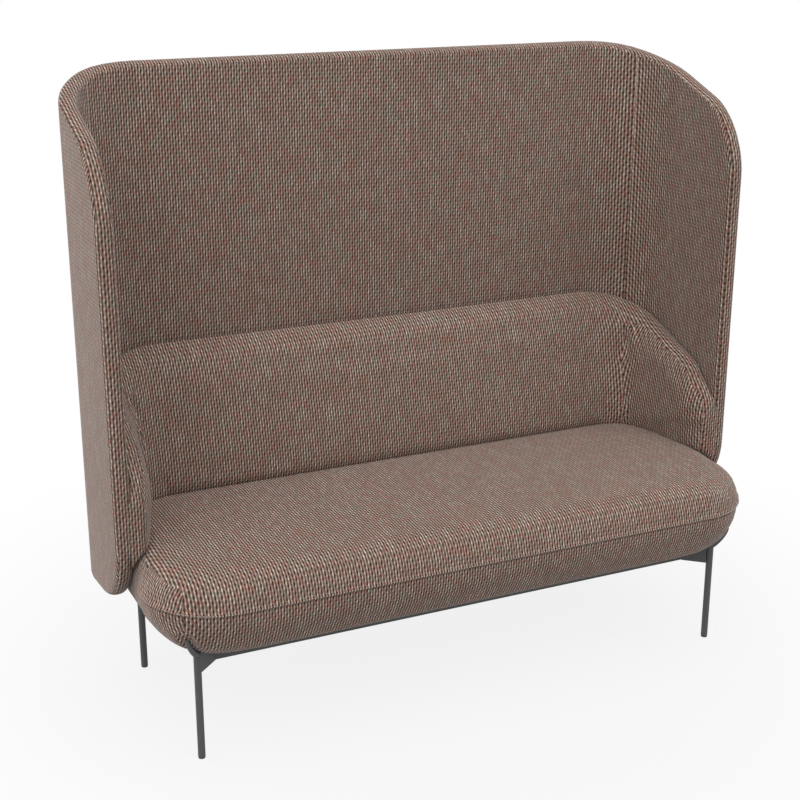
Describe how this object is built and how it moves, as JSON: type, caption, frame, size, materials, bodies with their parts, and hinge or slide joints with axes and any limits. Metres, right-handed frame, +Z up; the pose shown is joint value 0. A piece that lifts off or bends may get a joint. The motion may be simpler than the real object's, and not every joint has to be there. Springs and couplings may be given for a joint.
{
  "type": "two-seater sofa",
  "caption": "High-backed two-seater sofa: tall upholstered shell with wings, padded backrest and arms, thick seat slab, slim dark steel legs.",
  "frame": {"origin": "on the floor, under the middle of the overall width and depth", "axes": "+Z up, +X along the width to the sitter's left, the front of the sofa faces -Y"},
  "size_m": [1.54, 0.653, 1.3952],
  "materials": {
    "frame_steel": "matte powder coat",
    "glide_plastic": "matte",
    "zinc_hardware": "zinc plated",
    "plywood": "raw birch plywood",
    "webbing": "elastic webbing",
    "foam": "polyurethane foam",
    "upholstery": "coarse two-tone weave",
    "dust_cover": "black non-woven"
  },
  "bodies": {
    "root": {"back_pad_cover": "upholstery", "back_pad_foam": "foam", "back_panel": "plywood", "centre_rail": "frame_steel", "front_left_corner_arm": "frame_steel", "front_left_glide": "glide_plastic", "front_left_leg": "frame_steel", "front_rail": "frame_steel", "front_right_corner_arm": "frame_steel", "front_right_glide": "glide_plastic", "front_right_leg": "frame_steel", "inner_back_cover": "upholstery", "inner_back_foam": "foam", "inner_left_wing_cover": "upholstery", "inner_left_wing_foam": "foam", "inner_right_wing_cover": "upholstery", "inner_right_wing_foam": "foam", "left_arm_pad_cover": "upholstery", "left_arm_pad_foam": "foam", "left_rail": "frame_steel", "left_wing_panel": "plywood", "outer_back_cover": "upholstery", "outer_back_foam": "foam", "outer_left_wing_cover": "upholstery", "outer_left_wing_foam": "foam", "outer_right_wing_cover": "upholstery", "outer_right_wing_foam": "foam", "panel_joint_plates": "zinc_hardware", "panel_joint_screws": "zinc_hardware", "rear_left_corner_arm": "frame_steel", "rear_left_glide": "glide_plastic", "rear_left_leg": "frame_steel", "rear_rail": "frame_steel", "rear_right_corner_arm": "frame_steel", "rear_right_glide": "glide_plastic", "rear_right_leg": "frame_steel", "right_arm_pad_cover": "upholstery", "right_arm_pad_foam": "foam", "right_rail": "frame_steel", "right_wing_panel": "plywood", "seat_centre_batten": "plywood", "seat_dust_cover": "dust_cover", "seat_foam": "foam", "seat_front_batten": "plywood", "seat_left_batten": "plywood", "seat_lower_cover": "upholstery", "seat_mounting_screws": "zinc_hardware", "seat_mounting_tabs": "frame_steel", "seat_rear_batten": "plywood", "seat_right_batten": "plywood", "seat_top_cover": "upholstery", "seat_webbing": "webbing", "shell_bolts": "zinc_hardware", "shell_brackets": "zinc_hardware"}
  },
  "joints": []
}
